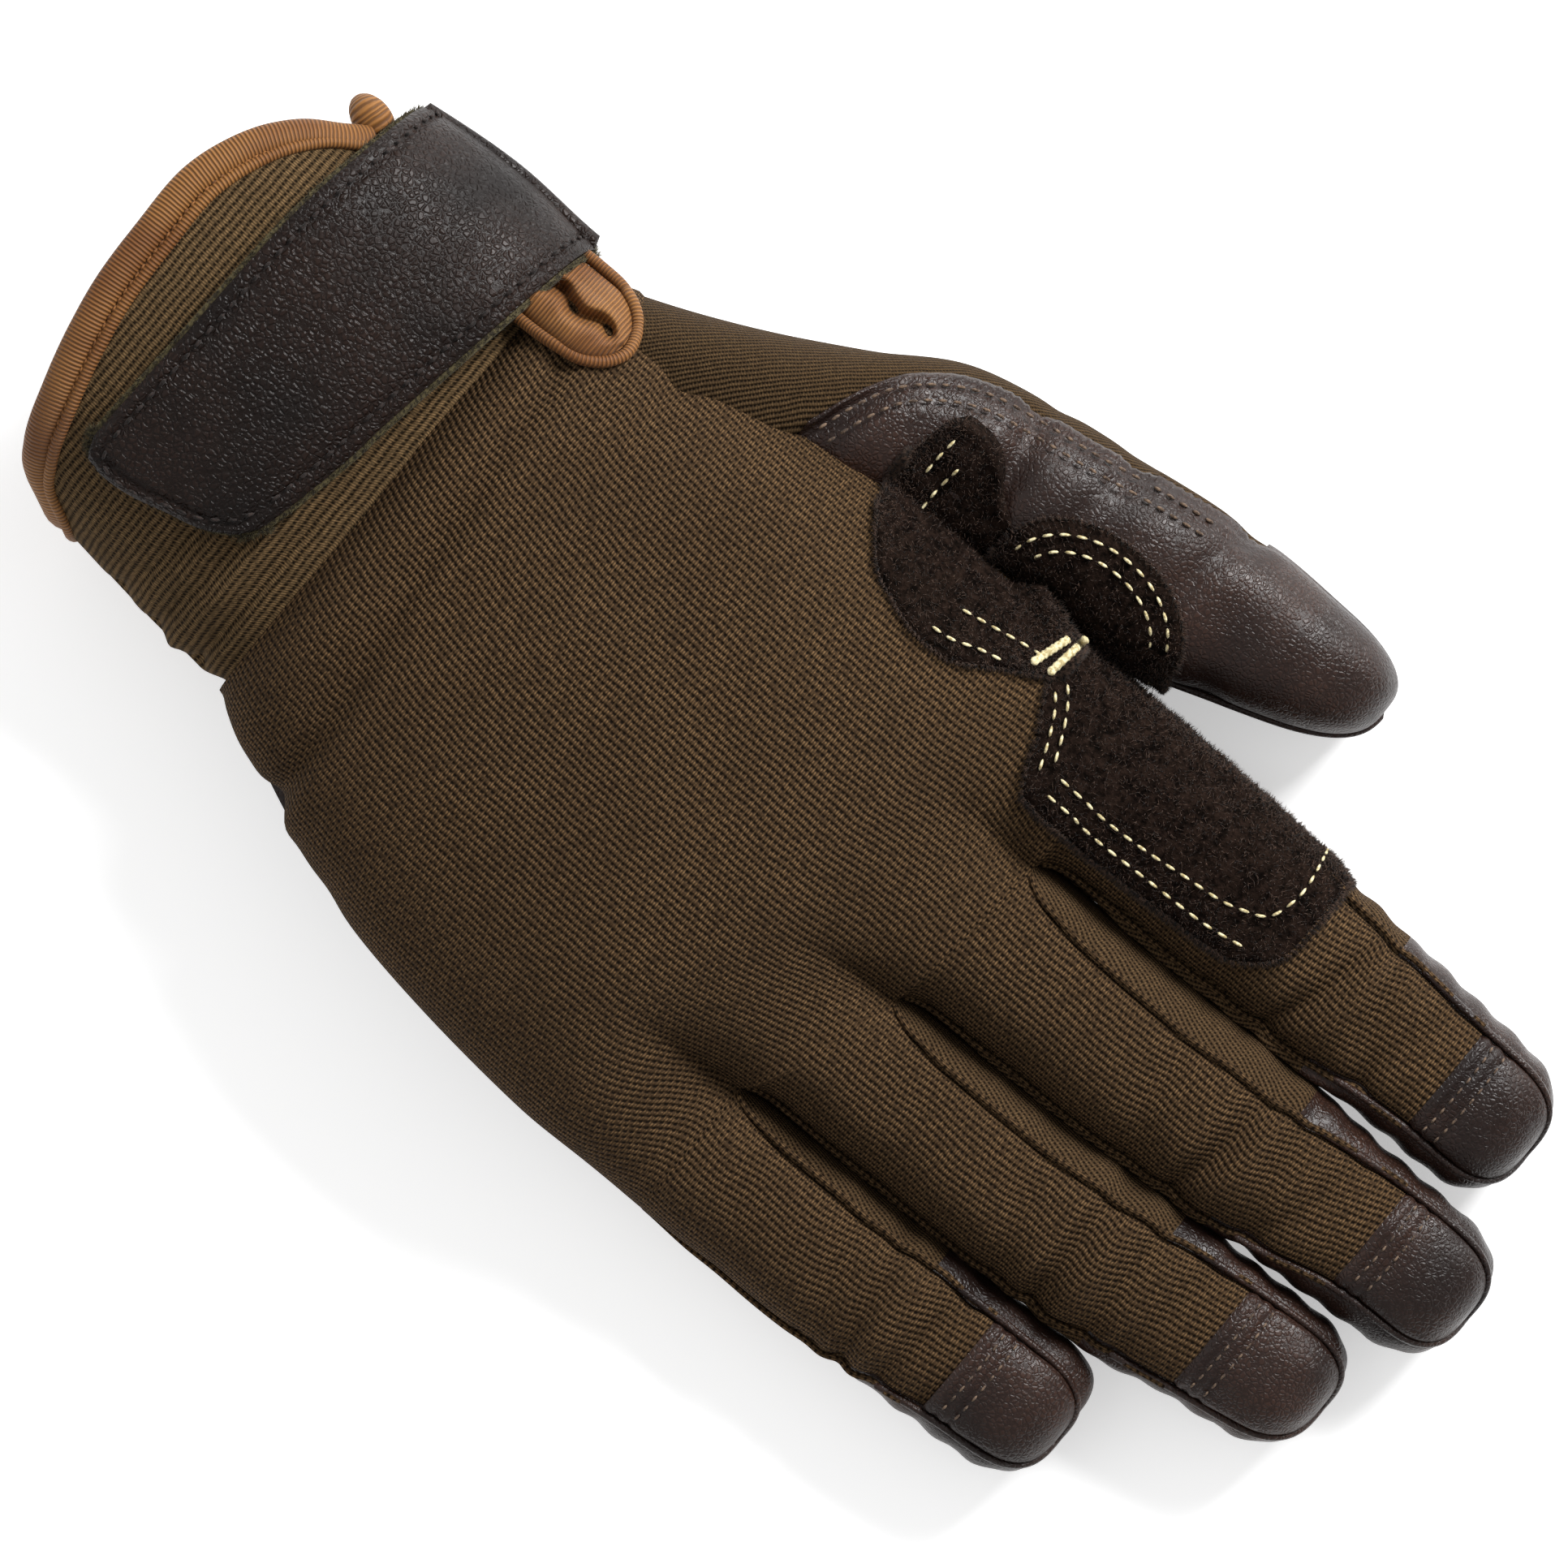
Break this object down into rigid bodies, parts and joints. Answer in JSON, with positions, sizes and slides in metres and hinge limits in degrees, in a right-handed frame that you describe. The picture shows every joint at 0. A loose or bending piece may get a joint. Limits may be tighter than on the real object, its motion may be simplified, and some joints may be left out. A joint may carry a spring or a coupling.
{
  "type": "touchscreen glove",
  "caption": "Right-hand stretch glove with a knitted back, leather palm and fingertips, suede patches, a bound cuff and a wrist strap; its fingers, thumb and strap move.",
  "frame": {"origin": "centre of the palm patch's flat face, on the surface that the glove lies on", "axes": "+Y towards the fingertips, +Z out of the back of the hand, thumb at -X"},
  "size_m": [0.137, 0.2586, 0.0477],
  "materials": {
    "knit": "brushed polyester knit, heathered brown",
    "rib_knit": "rib-knitted polyester, heathered brown",
    "goatskin": "dark brown sheepskin, fine grain, satin",
    "suede": "near-black brown suede, matt nap",
    "binding": "tan binding, rolled over the edge and chain-stitched",
    "hook_and_loop": "olive brown hook and loop tape",
    "elastic": "woven rubber elastic",
    "strap_leather": "dark brown pebbled leather, satin"
  },
  "bodies": {
    "hand": {"back_panel": "knit", "palm_panel": "goatskin", "web_fourchettes": "rib_knit", "palm_patch": "suede", "saddle_patch": "suede", "thumb_gusset": "rib_knit", "thumb_saddle": "goatskin", "cuff_back": "rib_knit", "cuff_palm": "rib_knit", "wrist_elastic": "elastic", "cuff_binding": "binding", "slit_binding": "binding", "loop_patch": "hook_and_loop", "strap_anchor": "strap_leather"},
    "strap": {"strap": "strap_leather", "hook_patch": "hook_and_loop"},
    "index_base": {"index_base_back": "knit", "index_base_front": "goatskin", "index_base_fourchettes": "rib_knit", "index_patch": "suede"},
    "index_tip": {"index_tip_back": "knit", "index_tip_front": "goatskin", "index_tip_sides": "goatskin", "index_cap": "goatskin"},
    "middle_base": {"middle_base_back": "knit", "middle_base_front": "goatskin", "middle_base_fourchettes": "rib_knit"},
    "middle_tip": {"middle_tip_back": "knit", "middle_tip_front": "goatskin", "middle_tip_sides": "goatskin", "middle_cap": "goatskin"},
    "ring_base": {"ring_base_back": "knit", "ring_base_front": "goatskin", "ring_base_fourchettes": "rib_knit"},
    "ring_tip": {"ring_tip_back": "knit", "ring_tip_front": "goatskin", "ring_tip_sides": "goatskin", "ring_cap": "goatskin"},
    "little_base": {"little_base_back": "knit", "little_base_front": "goatskin", "little_base_fourchettes": "rib_knit"},
    "little_tip": {"little_tip_back": "knit", "little_tip_front": "goatskin", "little_tip_sides": "goatskin", "little_cap": "goatskin"},
    "thumb_base": {"thumb_back": "rib_knit", "thumb_front": "goatskin", "thumb_patch": "suede"},
    "thumb_tip": {"thumb_cap": "goatskin", "thumb_tip_front": "goatskin"}
  },
  "joints": [
    {"name": "index_knuckle", "type": "hinge", "parent": "hand", "child": "index_base", "pos_m": [-0.038, 0.066, 0.01083], "axis": [-1, 0, 0], "range_deg": [-10, 70], "stiffness_Nm_per_rad": 0.4},
    {"name": "index_bend", "type": "hinge", "parent": "index_base", "child": "index_tip", "pos_m": [-0.03778, 0.102, 0.00923], "axis": [-1, 0, 0], "range_deg": [0, 80], "stiffness_Nm_per_rad": 0.2},
    {"name": "middle_knuckle", "type": "hinge", "parent": "hand", "child": "middle_base", "pos_m": [-0.0091, 0.068, 0.01112], "axis": [-1, 0, 0], "range_deg": [-10, 70], "stiffness_Nm_per_rad": 0.4},
    {"name": "middle_bend", "type": "hinge", "parent": "middle_base", "child": "middle_tip", "pos_m": [-0.0101, 0.106, 0.0095], "axis": [-1, 0, 0], "range_deg": [0, 80], "stiffness_Nm_per_rad": 0.2},
    {"name": "ring_knuckle", "type": "hinge", "parent": "hand", "child": "ring_base", "pos_m": [0.01776, 0.063, 0.01041], "axis": [-1, 0, 0], "range_deg": [-10, 70], "stiffness_Nm_per_rad": 0.4},
    {"name": "ring_bend", "type": "hinge", "parent": "ring_base", "child": "ring_tip", "pos_m": [0.0164, 0.1, 0.00912], "axis": [-1, 0, 0], "range_deg": [0, 80], "stiffness_Nm_per_rad": 0.2},
    {"name": "little_knuckle", "type": "hinge", "parent": "hand", "child": "little_base", "pos_m": [0.0438, 0.053, 0.00969], "axis": [-1, 0, 0], "range_deg": [-10, 70], "stiffness_Nm_per_rad": 0.4},
    {"name": "little_bend", "type": "hinge", "parent": "little_base", "child": "little_tip", "pos_m": [0.0432, 0.083, 0.00874], "axis": [-1, 0, 0], "range_deg": [0, 80], "stiffness_Nm_per_rad": 0.2},
    {"name": "thumb_swing", "type": "hinge", "parent": "hand", "child": "thumb_base", "pos_m": [-0.073, 0.015, 0.015], "axis": [0, 0, 1], "range_deg": [0, 40], "stiffness_Nm_per_rad": 0.2},
    {"name": "thumb_bend", "type": "hinge", "parent": "thumb_base", "child": "thumb_tip", "pos_m": [-0.0685, 0.052, 0.01685], "axis": [1, 0, 0], "range_deg": [0, 60], "stiffness_Nm_per_rad": 0.2},
    {"name": "strap_peel", "type": "hinge", "parent": "hand", "child": "strap", "pos_m": [-0.0532, -0.07, 0.0244], "axis": [0, -1, 0], "range_deg": [0, 150]}
  ]
}
